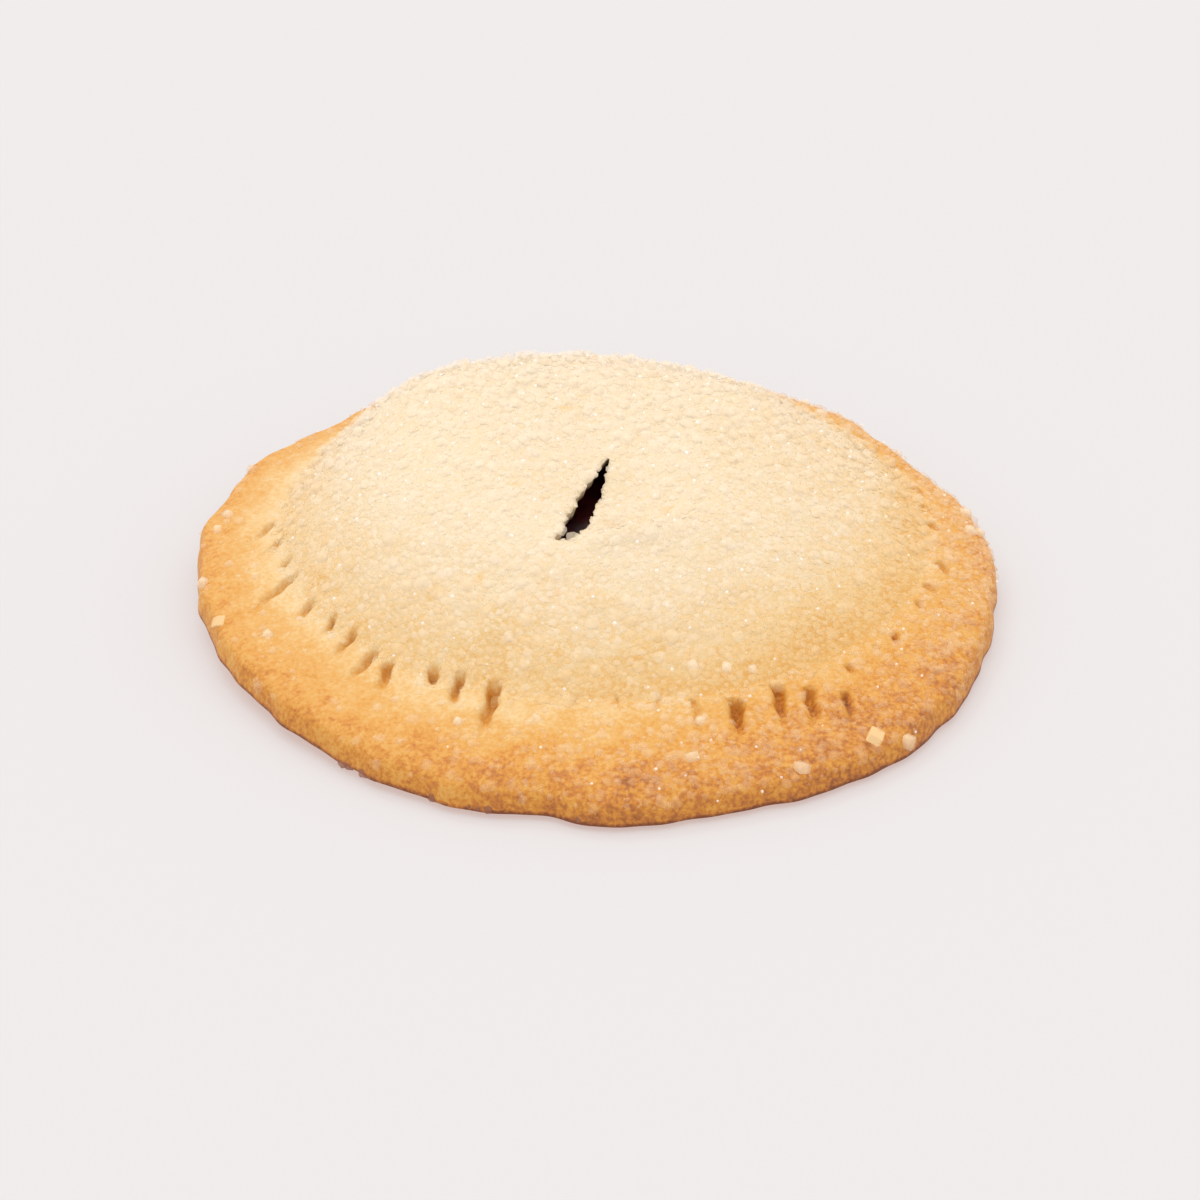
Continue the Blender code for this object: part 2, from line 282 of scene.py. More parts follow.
# Shortcrust baked against a tray: matt and brown, in mottled tones.
base_material, tree, shader = new_material("shortcrust_browned_on_tray")
tone = node(tree, "Mix", {"Factor": 0.45, "A": grain(tree, 9, 4), "B": grain(tree, 1.6)})
base_colour = colour_ramp(tree, tone.outputs["Result"],
                          ((0.3, "#8A5430"), (0.5, "#A96C3E"), (0.68, "#C68B55")))
tree.links.new(base_colour, shader.inputs["Base Color"])
shader.inputs["Roughness"].default_value = 0.7
base_bump = node(tree, "Bump", {"Height": grain(tree, 0.9), "Strength": 0.6, "Distance": 0.25 * MM})
tree.links.new(base_bump.outputs["Normal"], shader.inputs["Normal"])

# A share of -1 closes the round's middle in one point.
base_shares = [-1, 0.25, 0.5, 0.75, 0.9, 1.0, 1.1, 1.25, 1.4, 1.5, 1.6, 1.7, 1.8, 1 + LAST_RING]
base_profile = [(share, 1) for share in base_shares]
base_profile += [(2, level) for level in level_ladder(8)]
base_profile += [(share, 0) for share in reversed(base_shares)]
base_mesh = spun_mesh(base_profile, False, COLUMNS)
share, level, azimuth = swept_places(base_mesh)
inset = BOTTOM_INSET + swells(azimuth, INSET_SWELLS)
inset = inset + ripples(np.radians(azimuth), INSET_RIPPLES)
x, y = plan_point(drawn_in(np.maximum(share, 0), azimuth, inset + EDGE_ROOM), azimuth, (0, 0))
x, y = round_off(share, x, y, inset, 1 - level)
place_vertices(base_mesh, x, y, table_lift(x, y) + BOTTOM_DOUGH * level)
BASE_ROUGHNESS = 0.12
push_out(base_mesh, smooth_step(1.6, 1.9, share) * BASE_ROUGHNESS * lumps(base_mesh, 2.2, 1))
bottom_round = add_piece("bottom_round", base_mesh, [base_material])
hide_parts("bottom_crust")

# ---------------------------------------------------------------------------------------
# Top round.  Shortcrust rolled to about 2.5 mm, draped over the fruit and sealed with the
# tines of a table fork.  The crown stays pale under its sugar, the rim bakes golden, and the
# steam slit has torn open at its front end.
# ---------------------------------------------------------------------------------------
TOP_DOUGH = 2.6
GAP = 0.3
MOUND_HEIGHT = crust_high.z / MM - 1.8
MOUND_LEAN = -0.13
MOUND_FULLNESS = 3.0
MOUND_SHOULDER = 1.12
FORK_LINE_HEIGHT = 7.9
FORK_LINE_SWELLS = ((-90, 1.1, 40), (178, 1.4, 40))
RIM_HEIGHT = 4.9
RIM_ROLL = 0.5
ROLL_SWELLS = ((-90, 0.9, 60),)
FLANGE_SAG = 1.25
EDGE_CURL = 1.5

# Soft hollows (-) and swells (+) of the crown: x, y, size, half length, half width, turn.
CROWN_SHAPES = (
    (-1.5, -10.0, -2.2, 15, 11, 72), (8.0, -9.5, -1.8, 9, 5.5, 25), (4.5, -18.5, 1.3, 11, 3.2, 25),
    (6.0, -14.8, -1.5, 7.5, 2.4, 22), (4.8, -19.4, 1.1, 8.5, 1.8, 22),
    (-30.0, 24.0, 3.4, 16, 11, 40), (26.0, 28.0, 2.2, 13, 10, -40), (-20.0, -26.0, -0.6, 6, 4, 30),
)

VENT_MIDDLE = (-1.5, -10.8)
VENT_LENGTH = 22.0
VENT_WIDTH = 3.0
VENT_TURN = 73.0
VENT_TAPER = 0.45
VENT_HOOK = 7.0
VENT_BLUNTNESS = 0.45
VENT_RIPPLES = ((9, 0.12, 1), (17, 0.1, 0), (31, 0.08, 2))
SLIT_UNDERCUT = 0.8
BACK_UNDERCUT = 4.5

# Each press of the fork: plan place of its first tine's tip, the way to the next tips, the way
# the tines point, and for every tine how far it is bent along the row, its depth and length.
TINE_STEP = 5.6
TINE_HALF_WIDTH = 0.38
TINE_WIDENING = 0.22
TINE_WANDER = 0.18
RIDGE_SHARE = 0.14
RIDGE_PLACE = 2.2
RIDGE_HALF_WIDTH = 0.8
FORK_PRESSES = (
    ((-51.1, 6.9), -77, -125, ((0, 0.9, 8), (0, 0.9, 6), (0.7, 0.9, 3), (-0.2, 1.2, 12))),
    ((-44.0, -16.4), -52, -122, ((0.2, 1.2, 5), (0.6, 1.0, 4.5), (0, 1.3, 6.5), (0, 1.6, 8))),
    ((-31.4, -32.2), -24, -101, ((0, 1.9, 7), (1.9, 2.2, 3), (0.6, 1.9, 7), (0.9, 2.6, 11))),
    ((-8.9, -42.2), -3, -89, ((0, 0.2, 3), (0, 0.35, 3.5))),
    ((2.9, -42.5), 3, -84, ((0, 0.35, 3), (0.4, 0.5, 4.5), (0.3, 0.9, 9), (0.8, 2.8, 9))),
    ((26.9, -37.6), -2, -84, ((0, 2.2, 10), (-0.9, 2.0, 9.5), (-0.9, 1.3, 9))),
    ((38.0, -31.4), 50, -70, ((0, 1.1, 3), (1.1, 0.7, 2.2), (0, 1.1, 3.6))),
    ((49.5, -13.7), 71, -55, ((0, 0.9, 3.2), (-0.5, 1.0, 3.6), (0.7, 1.2, 4.6))),
    ((54.0, 3.6), 100, -50, ((0, 0.4, 3), (0.3, 1.0, 4), (0, 0.8, 4), (0, 0.9, 4))),
    ((47.6, 26.0), 124, 20, ((0, 0.8, 4), (0.5, 1.0, 4), (0, 0.9, 5), (-0.4, 0.9, 4))),
    ((33.1, 44.1), 151, 55, ((0, 0.9, 5), (0, 1.1, 5), (0.6, 1.0, 4), (0, 0.7, 4))),
    ((11.6, 53.9), 179, 88, ((0, 0.8, 4), (0.4, 1.2, 5), (0, 1.1, 6), (0, 0.9, 4))),
    ((-12.2, 53.3), 205, 115, ((0, 0.8, 4), (0, 0.8, 4), (0.5, 0.7, 3), (0, 0.6, 3))),
    ((-33.1, 42.5), 232, 145, ((0, 0.6, 3), (0, 0.7, 4), (0.4, 0.6, 4))),
    ((-44.4, 28.4), 250, 165, ((0, 0.7, 4), (0, 0.6, 3), (0, 0.6, 3))),
)


def crown_shape(x, y):
    """The soft hollows and swells of the crown at plan points."""
    height = 0
    for centre_x, centre_y, size, half_length, half_width, turn in CROWN_SHAPES:
        across, along = on_circle(1, turn)
        forward = (x - centre_x) * across + (y - centre_y) * along
        sideways = (y - centre_y) * across - (x - centre_x) * along
        height = height + size * np.exp(-(forward / half_length) ** 2 - (sideways / half_width) ** 2)
    return height


def rim_height(x, y):
    """Height of the sealed rim's upper face, also carried inwards under the mound."""
    azimuth = azimuth_of(x, y)
    share = flange_share(x, y)
    foot = FORK_LINE_HEIGHT + swells(azimuth, FORK_LINE_SWELLS)
    rim = RIM_HEIGHT + swells(azimuth, LIFT_SWELLS)
    flange = foot + (rim - foot) * np.clip(share, 0, 1) ** FLANGE_SAG
    roll = RIM_ROLL + swells(azimuth, ROLL_SWELLS)
    return flange - roll * smooth_step(0.7, 1.05, share) ** 2


def face_height(x, y):
    """Height of the crust's upper face before the fork is pressed in."""
    foot = rim_height(x, y)
    oval = np.hypot((x - MOUND_MIDDLE[0]) / MOUND_HALF[0], (y - MOUND_MIDDLE[1]) / MOUND_HALF[1])
    fullness = np.clip(1 - oval ** MOUND_FULLNESS, 0, 1) ** MOUND_SHOULDER
    rise = MOUND_HEIGHT - foot + MOUND_LEAN * (x - MOUND_MIDDLE[0]) + crown_shape(x, y)
    return foot + np.where(flange_share(x, y) > 0, 0, rise * fullness)


def under_height(x, y):
    """Underside of the top round: parallel to its face over the fruit, then on the seam."""
    sealed = smooth_step(-0.1, 0.4, flange_share(x, y))
    hanging = face_height(x, y) - TOP_DOUGH
    return hanging + (table_lift(x, y) + BOTTOM_DOUGH + GAP - hanging) * sealed


def fork_depth(x, y):
    """How deep the tines are pressed in at plan points, with a low ridge raised beside each.

    A tine is nearly straight and deepest at its tip, where it bites into the mound's foot.
    """
    above_rim = face_height(x, y) - rim_height(x, y)
    deepest = np.zeros_like(x)
    raised = np.zeros_like(x)
    for (tip_x, tip_y), row, turn, tines in FORK_PRESSES:
        row_x, row_y = on_circle(1, row)
        way_x, way_y = on_circle(1, turn)
        for count, (bent, depth, length) in enumerate(tines):
            from_x = x - tip_x - (count * TINE_STEP + bent) * row_x
            from_y = y - tip_y - (count * TINE_STEP + bent) * row_y
            run = from_x * way_x + from_y * way_y
            wander = TINE_WANDER * np.sin(1.3 * run + 2.1 * count + tip_x)
            half_width = TINE_HALF_WIDTH + TINE_WIDENING * depth
            sideways = np.abs(from_y * way_x - from_x * way_y + wander) / half_width
            along = smooth_step(-0.15, 0.4, run) * (1 - smooth_step(0.1, 1.1, run / length))
            across = 1 - smooth_step(0.2, 1.3, sideways)
            ridge = np.exp(-((sideways - RIDGE_PLACE) / RIDGE_HALF_WIDTH) ** 2)
            deepest = np.maximum(deepest, (above_rim + depth) * along * across)
            raised = np.maximum(raised, RIDGE_SHARE * depth * along * ridge)
    return deepest - raised * (1 - smooth_step(0, 0.3, deepest))


def vent_lip(azimuth, undercut=0):
    """Plan point of the slit's torn edge that faces this azimuth, wider by the undercut."""
    turn = np.radians(azimuth - VENT_TURN)
    ragged = ripples(turn, VENT_RIPPLES, 1)
    front = np.clip(-np.cos(turn), 0, 1)
    blunt = np.sign(np.sin(turn)) * np.abs(np.sin(turn)) ** (1 - VENT_BLUNTNESS * front)
    forward = VENT_LENGTH / 2 * np.cos(turn) + undercut * BACK_UNDERCUT * np.clip(np.cos(turn), 0, 1)
    sideways = VENT_WIDTH / 2 * blunt * (1 - VENT_TAPER * np.cos(turn)) * ragged
    sideways = sideways + undercut * np.sin(turn) + VENT_HOOK * np.clip(front - 0.6, 0, 1) ** 2
    across, along = on_circle(1, VENT_TURN)
    return (VENT_MIDDLE[0] + forward * across - sideways * along,
            VENT_MIDDLE[1] + forward * along + sideways * across)


crown_shares = list(np.linspace(0, 0.9, 38))
fork_shares = list(np.linspace(0.91, 1.45, 42))
flange_shares = list(np.linspace(1.475, 1 + LAST_RING, 14))
under_shares = [1.85, 1.6, 1.35, 1.1, 0.85, 0.6, 0.35, 0.15]
face_profile = [(share, 1) for share in crown_shares + fork_shares + flange_shares]
edge_profile = [(2, level) for level in level_ladder(9)]
under_profile = [(share, 0) for share in under_shares]
slit_profile = [(0, level) for level in (0, 0.35, 0.7, 0.9)]
top_mesh = spun_mesh(face_profile + edge_profile + under_profile + slit_profile, True, COLUMNS)
share, level, azimuth = swept_places(top_mesh)
undercut = SLIT_UNDERCUT * (1 - level) * (share < 0.01)
x, y = plan_point(drawn_in(share, azimuth, EDGE_ROOM), azimuth, vent_lip(azimuth, undercut))
x, y = round_off(share, x, y, 0, level)
under = under_height(x, y) - EDGE_CURL * smooth_step(EDGE_SHARE, 1.99, share)
pressed = fork_depth(x, y)
face = face_height(x, y) - pressed
place_vertices(top_mesh, x, y, under + (face - under) * level)

# Relief of the dough, each height before its width in millimetres: the fruit and the sugar show
# through as soft lumps on the crown, the face is a little grainy, and the rim has cracked in front.
CRACKS = ((-87, 1.0, 4),)
flange = flange_share(x, y)
on_face = level * smooth_step(0, 0.03, share)
relief = 0.35 * (1 - smooth_step(-0.1, 0.1, flange)) * lumps(top_mesh, 14, 2)
relief += 0.3 * (1 - smooth_step(-0.3, 0, flange)) * lumps(top_mesh, 3.6, 7)
relief += 0.1 * lumps(top_mesh, 5, 3) + 0.05 * lumps(top_mesh, 1.7, 4) + 0.03 * lumps(top_mesh, 0.9, 5)
cracked = smooth_step(0.8, 0.95, flange) * swells(azimuth, CRACKS)
relief += 0.45 * cracked * lumps(top_mesh, 1.1, 11)
push_out(top_mesh, relief * on_face)

# Small places where the sugar has run off, and browner ones: x, y, half width.
BARE_SPOTS = (
    (-5.3, 11.5, 0.9), (-2.7, 16.5, 0.8), (-12.0, 4.3, 0.7), (-10.6, -3.4, 0.6), (-8.1, -11.8, 0.6),
    (-12.5, -9.6, 0.6), (11.0, -10.6, 1.0), (15.6, -19.5, 0.6), (-17.8, -25.9, 0.7), (-26.0, 12.0, 0.6),
)
BROWN_SPOTS = (
    (-40.8, -40.2, 1.2), (-58.6, 5.1, 1.0), (54.7, -6.8, 0.5), (52.8, -8.9, 0.5), (6.0, -58.5, 2.6),
    (-1.5, -56.0, 1.6), (12.5, -57.0, 2.0), (24.0, -50.5, 1.8), (-11.0, -52.0, 1.3), (33.5, -49.0, 2.0),
    (50.5, -32.0, 2.2), (46.0, -38.0, 1.6), (57.5, -17.0, 1.4), (3.0, -16.4, 2.2), (7.0, -14.8, 2.2),
)
# Stretches of the rim that baked more (+) or less (-).
BAKE_SWELLS = ((-48, 0.15, 26), (-90, 0.08, 28), (178, -0.05, 40))


def spot_share(x, y, spots):
    """1 inside the spots and 0 outside."""
    return sum(np.exp(-(((x - spot_x) ** 2 + (y - spot_y) ** 2) / size ** 2) ** 2)
               for spot_x, spot_y, size in spots)


def baked_and_shaded(x, y):
    """How far the crust has browned, and painted shade: 0 pale crown, 0.3 at its foot, 0.6 golden, 1 brown
    edge.
    """
    flange = flange_share(x, y)
    bake_and_shade = 0.3 * smooth_step(-1.2, 0.1, flange) + 0.3 * smooth_step(0, 0.6, flange)
    bake_and_shade += 0.18 * smooth_step(0.45, 1.0, flange) + 0.18 * spot_share(x, y, BARE_SPOTS)
    # Painted shade: the crown and the rim's inner part are painted warmer and darker towards the right,
    # the side away from the lamp.
    bake_and_shade += 0.17 * smooth_step(5, 50, x) * (1 - smooth_step(0.2, 0.8, flange))
    bake_and_shade += 0.12 * spot_share(x, y, BROWN_SPOTS)
    return bake_and_shade + swells(azimuth_of(x, y), BAKE_SWELLS) * smooth_step(-0.4, 0.1, flange)


# The crust is browner towards its underside.  The edge's lowest part is the brownest: partly from
# baking, and partly painted shade along the dark line where it comes down to the table.  The tine
# marks are painted browner, which is painted shade in their grooves.
bake_and_shade = baked_and_shaded(x, y) + 0.1 * lumps(top_mesh, 7, 6) + 0.08 * (1 - level)
bake_and_shade += 0.4 * (1 - smooth_step(0.04, 0.26, level)) * (share > EDGE_SHARE)
bake_and_shade += 0.25 * smooth_step(0.2, 1.2, pressed) * level

# Baked shortcrust: pale where sugar and steam kept it cool, golden and then brown outwards.  Its colour
# also carries painted shade: in the tine marks, at the edge's foot and on the crown's right.
crust_material, tree, shader = new_material("shortcrust_baked_golden")
bake_and_shade_share = node(tree, "Attribute", attribute_name="bake_and_shade").outputs["Fac"]
blotches = node(tree, "MapRange", {"Value": grain(tree, 2.6, 4, 0.6), "From Min": 0.35, "From Max": 0.7,
                                   "To Min": -0.1, "To Max": 0.17}).outputs["Result"]
specks = node(tree, "MapRange", {"Value": grain(tree, 0.7, 2, 0.6), "From Min": 0.35, "From Max": 0.65,
                                 "To Min": -0.15, "To Max": 0.12}).outputs["Result"]
mottle = node(tree, "Math", {0: blotches, 1: specks}, operation="ADD").outputs["Value"]
uneven = node(tree, "MapRange", {"Value": bake_and_shade_share, "To Min": 0.4, "To Max": 1.1}).outputs["Result"]
tone = node(tree, "Math", {0: mottle, 1: uneven, 2: bake_and_shade_share}, operation="MULTIPLY_ADD").outputs["Value"]
tone = node(tree, "Math", {0: tone, 1: 0.75}, operation="MULTIPLY").outputs["Value"]
crust_colour = colour_ramp(tree, tone, ((0.0, "#E4CFAC"), (0.1, "#E3C89E"), (0.22, "#E2BD83"),
                                        (0.38, "#DCA85E"), (0.53, "#D89A44"), (0.64, "#CE8630"),
                                        (0.76, "#B87030"), (1.0, "#7E4420")))
tree.links.new(crust_colour, shader.inputs["Base Color"])
shader.inputs["Roughness"].default_value = 0.5
shader.inputs["Specular IOR Level"].default_value = 0.35
crumb = node(tree, "Math", {0: grain(tree, 0.5), 1: grain(tree, 1.5, 4)}, operation="ADD")
crust_bump = node(tree, "Bump", {"Height": crumb.outputs["Value"], "Strength": 0.6, "Distance": 0.3 * MM})
tree.links.new(crust_bump.outputs["Normal"], shader.inputs["Normal"])

crust_tree = BVHTree.FromBMesh(top_mesh)
top_round = add_piece("top_round", top_mesh, [crust_material], [("bake_and_shade", bake_and_shade)])
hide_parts("top_crust")

# ---------------------------------------------------------------------------------------
# Filling.  Strawberry and rhubarb stewed down to a dark glossy red.  It is heaped between the
# two rounds, has sunk a few millimetres below the slit, and shows only through it.
# ---------------------------------------------------------------------------------------
STEAM_GAP = 1.2
SUNK = 3.5

fruit_shares = [-1] + list(np.linspace(0.03, 1, 40))
fruit_profile = [(share, 1) for share in fruit_shares] + [(1.04, 0.5)]
fruit_profile += [(share, 0) for share in reversed(fruit_shares[::6])]
fruit_mesh = spun_mesh(fruit_profile, False, 180)
share, level, azimuth = swept_places(fruit_mesh)
x, y = plan_point(np.maximum(share, 0), azimuth, VENT_MIDDLE)
sunk = STEAM_GAP + SUNK * (1 - smooth_step(0.15, 0.5, share))
top = under_height(x, y) - sunk
bottom = BOTTOM_DOUGH + GAP
place_vertices(fruit_mesh, x, y, bottom + (top - bottom) * level)
push_out(fruit_mesh, level * (0.5 * lumps(fruit_mesh, 5, 8) + 0.15 * lumps(fruit_mesh, 1.6, 9)))

fruit_material, tree, shader = new_material("stewed_strawberry_and_rhubarb")
fruit_colour = colour_ramp(tree, grain(tree, 3), ((0.35, "#2A0508"), (0.7, "#5A0E12")))
tree.links.new(fruit_colour, shader.inputs["Base Color"])
shader.inputs["Roughness"].default_value = 0.35
filling = add_piece("stewed_fruit", fruit_mesh, [fruit_material])
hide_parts("filling")

# ---------------------------------------------------------------------------------------
# Crown sugar.  Coarse sugar strewn thickly on the egg-washed crown before baking.  Its grains
# are 0.5 to 2 mm across and slightly clear, and most have half melted to beads.  They lie one
# or two deep, so the pale dough shows only in a few gaps.
# ---------------------------------------------------------------------------------------
dice = np.random.default_rng(7)
ABOVE_CRUST = crust_high.z + 20 * MM
STEEPEST = 0.2


def on_crust(plan):
    """Places and normals, in metres, where the crust lies under plan points and isn't a wall."""
    found = []
    for x, y in plan:
        start = Vector(((x + PLAN_SHIFT[0]) * MM, (y + PLAN_SHIFT[1]) * MM, ABOVE_CRUST))
        place, normal, _, _ = crust_tree.ray_cast(start, Vector((0, 0, -1)))
        if place is not None and normal.z > STEEPEST:
            found.append((*place, *normal))
    found = np.array(found)
    return found[:, :3], found[:, 3:]


def strewn(count, spacing, cover):
    """Plan points from count tries, no nearer than spacing, with the chance that cover gives."""
    cells = {}
    kept = []
    half_side = RIM_RADIUS + 3
    tries = dice.uniform(-half_side, half_side, (count, 2))
    chances = dice.random(count)
    wanted = cover(tries[:, 0], tries[:, 1])
    for (x, y), chance, want in zip(tries, chances, wanted):
        if chance > want:
            continue
        cell = (int(x // spacing), int(y // spacing))
        near = [point for i in (-1, 0, 1) for j in (-1, 0, 1)
                for point in cells.get((cell[0] + i, cell[1] + j), ())]
        if all((x - other[0]) ** 2 + (y - other[1]) ** 2 > spacing ** 2 for other in near):
            cells.setdefault(cell, []).append((x, y))
            kept.append((x, y))
    return np.array(kept)


def shape_arrays(mesh):
    """Vertex places and faces of a grain's shape."""
    mesh.verts.index_update()
    places = np.array([vert.co for vert in mesh.verts])
    faces = [[vert.index for vert in face.verts] for face in mesh.faces]
    mesh.free()
    return places, faces


def crystal(bevel):
    """Cube with worn edges, one unit across: 44 triangles."""
    mesh = bmesh.new()
    bmesh.ops.create_cube(mesh, size=1)
    bmesh.ops.bevel(mesh, geom=mesh.edges[:], offset=bevel, offset_type="OFFSET", segments=1,
                    profile=0.5, affect="EDGES", material=-1)
    return shape_arrays(mesh)


def bead():
    """Grain that has melted round, one unit across: 20 triangles."""
    mesh = bmesh.new()
    bmesh.ops.create_icosphere(mesh, subdivisions=1, radius=0.5)
    return shape_arrays(mesh)


def random_turns(count):
    """Rotation matrices spread evenly over all turns."""
    q = dice.normal(size=(count, 4))
    w, x, y, z = (q / np.linalg.norm(q, axis=1, keepdims=True)).T
    rows = [[1 - 2 * (y * y + z * z), 2 * (x * y - z * w), 2 * (x * z + y * w)],
            [2 * (x * y + z * w), 1 - 2 * (x * x + z * z), 2 * (y * z - x * w)],
            [2 * (x * z - y * w), 2 * (y * z + x * w), 1 - 2 * (x * x + y * y)]]
    return np.moveaxis(np.array(rows), 2, 0)


def add_grains(name, shape, lying, material, size, rise, flat, soft=0.0):
    """Join grains that lie at the given places and crust normals into one piece.

    Size is a range of widths and rise one of heights above the crust, in millimetres, and flat is
    a grain's height as a share of its width.  Light passes through sugar, so a soft grain is
    shaded partly as the crust below it: soft is the share that the crust's normal, turned
    upwards, has in the grain's own.  At 0 its facets stay sharp.  Clear grains this small cast
    no shade worth seeing, so the light reaches the dough between and below them.
    """
    places, normals = lying
    count = len(places)
    base, faces = shape
    stretch = dice.uniform(0.7, 1, (count, 3)) * dice.uniform(*size, (count, 1)) * MM
    turned = np.einsum("nij,nkj->nki", random_turns(count), base[None] * stretch[:, None])
    height = np.einsum("nki,ni->nk", turned, normals)
    turned -= (1 - flat) * height[:, :, None] * normals[:, None]
    centres = places + normals * dice.uniform(*rise, (count, 1)) * MM
    verts = (centres[:, None] + turned).reshape(-1, 3)
    step = len(base)
    polygons = [[index + grain * step for index in face] for grain in range(count) for face in faces]
    data = bpy.data.meshes.new(name)
    data.from_pydata(verts.tolist(), [], polygons)
    data.update()
    below = baked_and_shaded(places[:, 0] / MM - PLAN_SHIFT[0], places[:, 1] / MM - PLAN_SHIFT[1])
    for title, values in (("tone", dice.random(count)), ("bake_and_shade", below)):
        layer = data.attributes.new(title, "FLOAT", "POINT")
        layer.data.foreach_set("value", np.repeat(values, step).astype(np.float32))
    data.materials.append(material)
    if soft:
        data.shade_smooth()
        outward = turned / np.linalg.norm(turned, axis=2, keepdims=True)
        shading = outward * (1 - soft) + (normals[:, None] + (0, 0, 1)) * soft / 2
        data.normals_split_custom_set_from_vertices(shading.reshape(-1, 3).tolist())
    piece = bpy.data.objects.new(name, data)
    bpy.context.scene.collection.objects.link(piece)
    piece.visible_shadow = False
    piece.visible_diffuse = False
    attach(piece, ROOT)
    return piece


def open_share(x, y):
    """1 where grains can lie: not in the tine marks and not on the bare spots."""
    bare = np.clip(spot_share(x, y, BARE_SPOTS), 0, 1)
    return (1 - smooth_step(0.1, 0.6, fork_depth(x, y))) * (1 - bare)


def crown_cover(x, y):
    """Share of the crown that sugar covers: all of it, thinner at its foot."""
    share = flange_share(x, y)
    foot = 0.5 * smooth_step(-0.5, 0.0, share)
    in_front = swells(azimuth_of(x, y), ((-90, 0.06, 60),))
    return (1 - foot) * (1 - smooth_step(-0.06, 0.08 + in_front, share)) * open_share(x, y)


def back_cover(x, y):
    """Share of the crown under whole crystals: most at the back, where they slid least."""
    return crown_cover(x, y) * (0.12 + 0.88 * smooth_step(-8, 30, y))


def sugar_material(name, clear, stops, shine=0.5, rough=0.2):
    """Sugar that takes on the tone of the crust below it, painted shade included, and lets a clear share
    of it through.

    Only the near side of a grain is seen: its far side is wet with syrup and shows nothing.
    """
    material, tree, shader = new_material(name)
    below = node(tree, "Attribute", attribute_name="bake_and_shade").outputs["Fac"]
    grain_tone = node(tree, "Attribute", attribute_name="tone").outputs["Fac"]
    warmed = node(tree, "MapRange", {"Value": grain_tone, "To Min": -0.12, "To Max": 0.14})
    tone = node(tree, "Math", {0: below, 1: warmed.outputs["Result"]}, operation="ADD")
    colour = colour_ramp(tree, tone.outputs["Value"], stops)
    tree.links.new(colour, shader.inputs["Base Color"])
    behind = node(tree, "NewGeometry").outputs["Backfacing"]
    solid = node(tree, "Math", {0: behind, 1: clear - 1, 2: 1 - clear}, operation="MULTIPLY_ADD")
    tree.links.new(solid.outputs["Value"], shader.inputs["Alpha"])
    shader.inputs["Roughness"].default_value = rough
    shader.inputs["Specular IOR Level"].default_value = shine
    shader.inputs["IOR"].default_value = 1.5
    return material


# Sugar melted into the crown: each grain is a soft bead, cloudy with the dough's own colour.
melted_sugar = sugar_material("coarse_sugar_half_melted", 0.38, (
    (0.0, "#E7D2B6"), (0.14, "#E4CAA6"), (0.3, "#E1BD8B"), (0.6, "#DCAF70")), shine=0.2)
add_grains("sugar_crown", bead(), on_crust(strewn(70000, 0.86, crown_cover)), melted_sugar,
           size=(1.2, 1.9), rise=(-0.2, 0.05), flat=0.42, soft=0.8)
add_grains("sugar_crown_fine", bead(), on_crust(strewn(60000, 0.7, crown_cover)), melted_sugar,
           size=(0.6, 0.95), rise=(-0.05, 0.15), flat=0.5, soft=0.75)

# Crystals that kept their shape, a little clearer than the beads around them.
pale_sugar = sugar_material("coarse_sugar_pale", 0.58, (
    (0.0, "#EEDABF"), (0.14, "#EBD2AF"), (0.3, "#E8C797"), (0.6, "#E2B97F")), shine=0.35)
add_grains("sugar_crystals", crystal(0.16), on_crust(strewn(12000, 1.5, back_cover)), pale_sugar,
           size=(1.2, 2.2), rise=(0.0, 0.75), flat=0.75, soft=0.5)

# Polished crystal faces that catch the lamp.  Their white, brighter than the sugar round them, is partly
# real polish and partly a painted glint.
bright_sugar = sugar_material("coarse_sugar_glinting", 0.35, (
    (0.0, "#FFFFFF"), (0.9, "#FFF4E8")), rough=0.08)
add_grains("sugar_glints", crystal(0.18), on_crust(strewn(1500, 3.5, crown_cover)[:240]), bright_sugar,
           size=(0.3, 0.55), rise=(0.3, 0.5), flat=1.0)

# ---------------------------------------------------------------------------------------
# Rim sugar.  The same sugar fell on the rim, thickest on the right.  It bakes hotter there, so
# the grains are clear with a little frost, peach over brown crust, and burnt where they hang.
# ---------------------------------------------------------------------------------------
RIM_SUGAR_SWELLS = ((5, 0.7, 42), (-72, 0.3, 28), (60, 0.4, 40))
THINNEST_RIM_SUGAR = 0.03


def rim_cover(x, y):
    """Share of the rim under sugar: thick on the right, thin in front, almost none on the left."""
    share = flange_share(x, y)
    spread = swells(azimuth_of(x, y), RIM_SUGAR_SWELLS) + THINNEST_RIM_SUGAR
    band = 0.4 + 0.6 * smooth_step(0.25, 0.6, share)
    return spread * band * smooth_step(-0.05, 0.1, share) * (share < 0.98) * open_share(x, y)


whole_sugar = sugar_material("coarse_sugar_whole", 0.66, (
    (0.0, "#EDDDC8"), (0.3, "#F2DFC6"), (0.6, "#EAC69A"), (0.9, "#DEAA76")), shine=0.35)
add_grains("sugar_rim", crystal(0.12), on_crust(strewn(26000, 0.9, rim_cover)), whole_sugar,
           size=(0.8, 1.8), rise=(-0.2, 0.2), flat=0.75, soft=0.2)
add_grains("sugar_rim_fine", crystal(0.15), on_crust(strewn(30000, 0.5, rim_cover)), whole_sugar,
           size=(0.4, 0.9), rise=(-0.05, 0.15), flat=0.8, soft=0.2)
# The rim's glinting crystals carry the same painted glint white.
add_grains("sugar_rim_glints", crystal(0.18), on_crust(strewn(1500, 3.0, rim_cover)), bright_sugar,
           size=(0.3, 0.5), rise=(0.3, 0.5), flat=1.0)

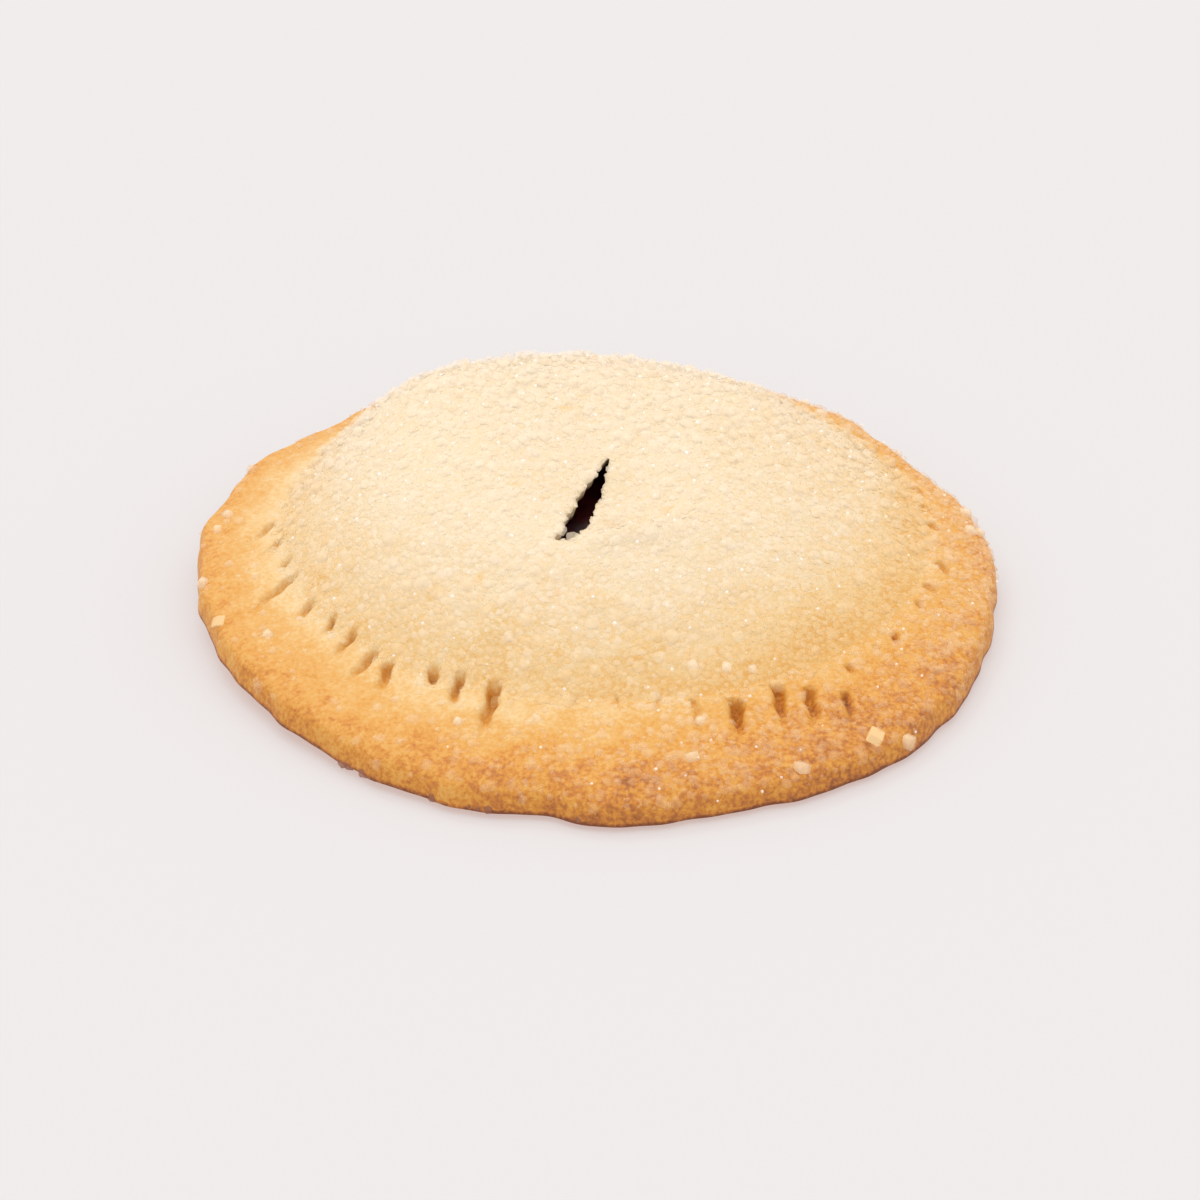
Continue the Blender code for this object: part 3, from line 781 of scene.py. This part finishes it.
# The largest crystals lie singly where they fell outside the crown.
LARGE_CRYSTALS = (
    (14.3, -37.8), (19.3, -37.0), (23.2, -36.3), (15.3, -47.0), (30.0, -54.7), (46.2, -45.7),
    (-50.5, -24.0), (-20.7, -46.8), (13.9, -54.4), (59.3, 13.6), (59.6, 7.6), (61.1, 7.9),
    (-59.3, 10.0), (-60.6, 5.7), (-61.6, -9.0), (37.4, 43.1), (35.0, 48.0),
)
frosted_sugar = sugar_material("coarse_sugar_frosted", 0.4, ((0.0, "#F6EAD8"), (0.9, "#F2D4AC")))
add_grains("sugar_largest", crystal(0.12), on_crust(LARGE_CRYSTALS), frosted_sugar,
           size=(1.5, 2.2), rise=(0.1, 0.4), flat=0.8, soft=0.1)

# Sugar that ran over the front of the rim and burnt hangs there in brown beads.
BURNT_AZIMUTHS = (-128, -126.8, -124, -122.5, -114, -112.8, -107.5, -106.2, -104.8, -94, -92.5)
BURNT_INSET = 0.5
BURNT_HEIGHT = 1.5
burnt_sugar = sugar_material("sugar_burnt_brown", 0.15, ((0.0, "#A86F50"), (0.9, "#8A5034")))
hanging = np.array([(*on_circle(rim_radius(turn) - BURNT_INSET, turn), BURNT_HEIGHT)
                    for turn in BURNT_AZIMUTHS])
hanging = (hanging + (*PLAN_SHIFT, 0)) * MM
outwards = np.array([(*on_circle(1, turn), 0) for turn in BURNT_AZIMUTHS])
add_grains("sugar_burnt", crystal(0.2), (hanging, outwards), burnt_sugar,
           size=(1.1, 2.0), rise=(-0.2, 0.2), flat=0.8)

# ---------------------------------------------------------------------------------------
# Loose flakes.  Two thin flakes broke off the crust's edge and lie on the rim: matt, and paler
# than the crust that they came from.
# ---------------------------------------------------------------------------------------
FLAKES = ((41.2, -47.2), (-58.4, -19.2))
flake_material, tree, shader = new_material("loose_crust_flakes")
shader.inputs["Base Color"].default_value = linear("#E6BE86")
shader.inputs["Roughness"].default_value = 0.7
add_grains("crust_flakes", crystal(0.1), on_crust(FLAKES), flake_material,
           size=(1.6, 2.6), rise=(0.1, 0.3), flat=0.4)

# ---------------------------------------------------------------------------------------
# Table, light and camera.  A plain pale table lit from a white room and by soft overhead light, seen from
# the front and a third of the way up.  The table also glows, which is painted light: it lightens the
# shadows on the table and tints them warm.
# ---------------------------------------------------------------------------------------
floor_mesh = bmesh.new()
bmesh.ops.create_grid(floor_mesh, x_segments=1, y_segments=1, size=3)
floor_data = bpy.data.meshes.new("table")
floor_mesh.to_mesh(floor_data)
floor_mesh.free()
table = bpy.data.objects.new("table", floor_data)
bpy.context.scene.collection.objects.link(table)
floor_material, tree, shader = new_material("glowing_pale_table")
# Painted light: shade takes away only the blue-grey reflected part while the pink glow stays, so the
# shadows on the table come out light and pink.
shader.inputs["Base Color"].default_value = linear("#86999E")
shader.inputs["Emission Color"].default_value = linear("#C3ABA4")
shader.inputs["Emission Strength"].default_value = 1.0
shader.inputs["Roughness"].default_value = 0.9
shader.inputs["Specular IOR Level"].default_value = 0.1
floor_data.materials.append(floor_material)

world = bpy.data.worlds.new("studio")
world.use_nodes = True
world.node_tree.nodes["Background"].inputs["Color"].default_value = (1, 1, 1, 1)
world.node_tree.nodes["Background"].inputs["Strength"].default_value = 1.07
bpy.context.scene.world = world

# A wide softbox gives the soft shade, and a small bare bulb the sparkle on the sugar, helped by the
# painted white of the glinting crystals.
# Each lamp: strength, width in degrees, and tilts about X and Y in degrees.
LAMPS = (("overhead_softbox", 0.83, 60, -18, -12), ("bare_bulb", 0.13, 3, -35, -20))
for name, strength, width, tilt_x, tilt_y in LAMPS:
    lamp_data = bpy.data.lights.new(name, "SUN")
    lamp_data.energy = strength
    lamp_data.angle = math.radians(width)
    lamp = bpy.data.objects.new(name, lamp_data)
    lamp.rotation_euler = (math.radians(tilt_x), math.radians(tilt_y), 0)
    bpy.context.scene.collection.objects.link(lamp)

CAMERA_RISE = math.radians(33)
CAMERA_DISTANCE = 0.62
CAMERA_LENS = 116.6
AIM = Vector((0.56, 0, -0.9)) * MM
camera_data = bpy.data.cameras.new("camera")
camera_data.sensor_width = 36
camera_data.lens = CAMERA_LENS
camera_data.clip_start = 0.01
camera = bpy.data.objects.new("camera", camera_data)
camera.location = AIM + CAMERA_DISTANCE * Vector((0, -math.cos(CAMERA_RISE), math.sin(CAMERA_RISE)))
camera.rotation_euler = (math.pi / 2 - CAMERA_RISE, 0, 0)
bpy.context.scene.collection.objects.link(camera)
bpy.context.scene.camera = camera
bpy.context.scene.view_settings.view_transform = "Standard"
